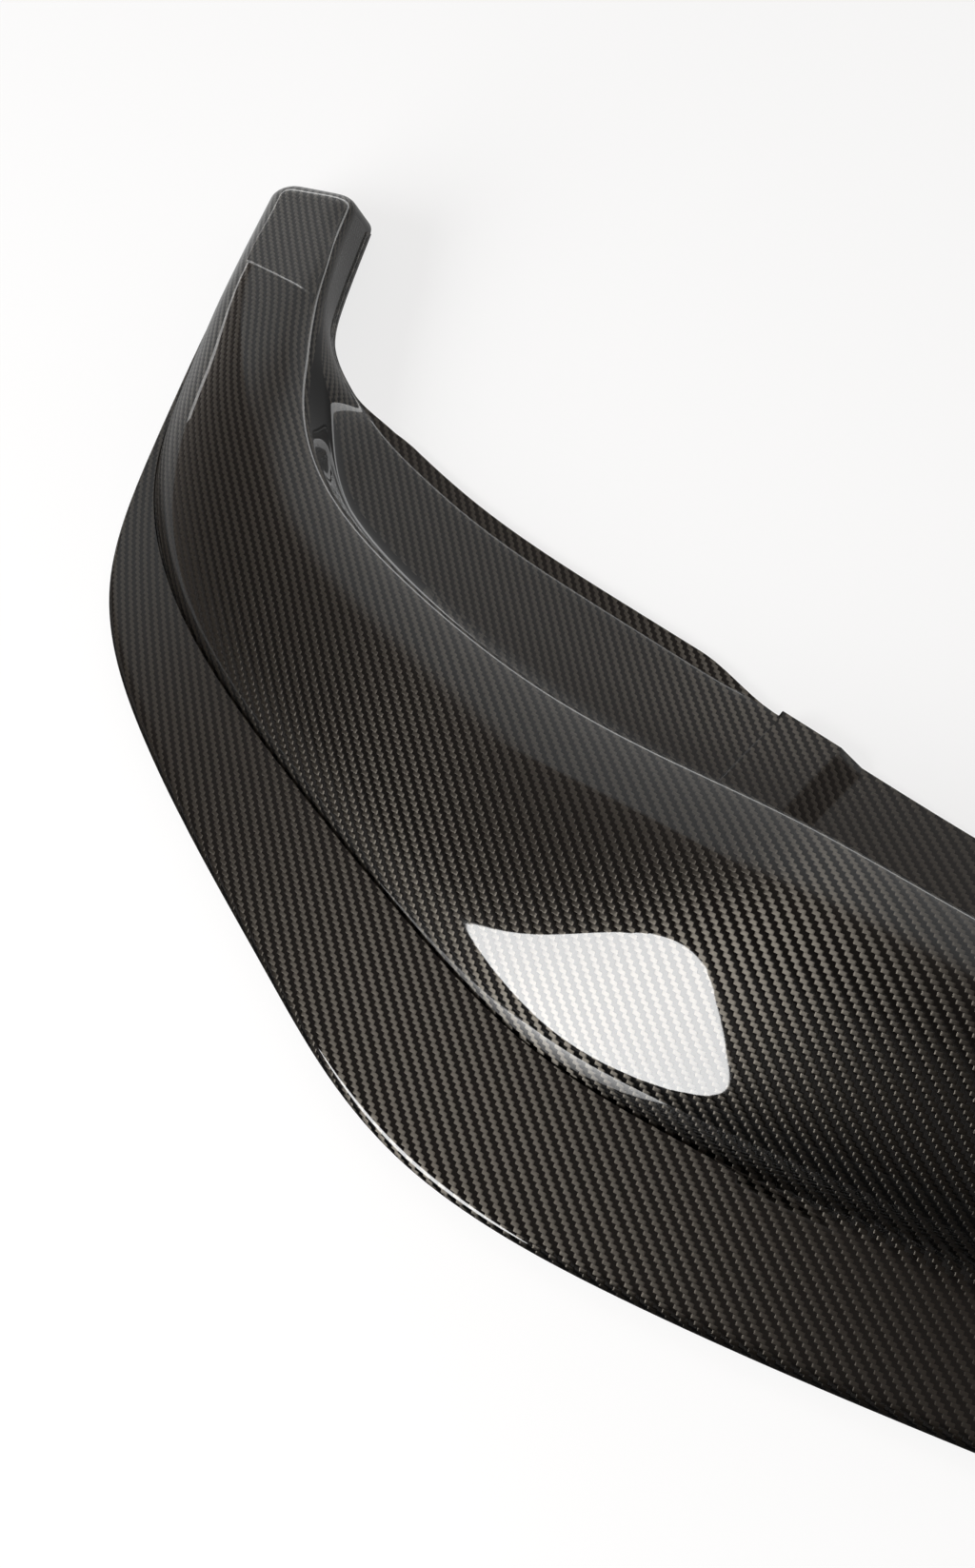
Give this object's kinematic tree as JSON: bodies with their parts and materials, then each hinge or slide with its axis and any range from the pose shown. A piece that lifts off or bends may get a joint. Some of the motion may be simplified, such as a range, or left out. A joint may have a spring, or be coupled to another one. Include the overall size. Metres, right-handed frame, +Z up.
{
  "type": "front splitter lip",
  "caption": "Moulded front splitter lip with a flat blade, an arched upper panel, a ridge, a rear mounting flange and horns at its ends.",
  "frame": {"origin": "middle of the lip's width and depth, on the floor under the blade", "axes": "+X across the car to the lip's left-hand horn as it is driven, -Y towards the front edge of the blade, +Z up"},
  "size_m": [1.76, 0.571, 0.101],
  "materials": {
    "carbon": "woven carbon fibre under a gloss clear coat"
  },
  "bodies": {
    "root": {"splitter_lip": "carbon"}
  },
  "joints": []
}
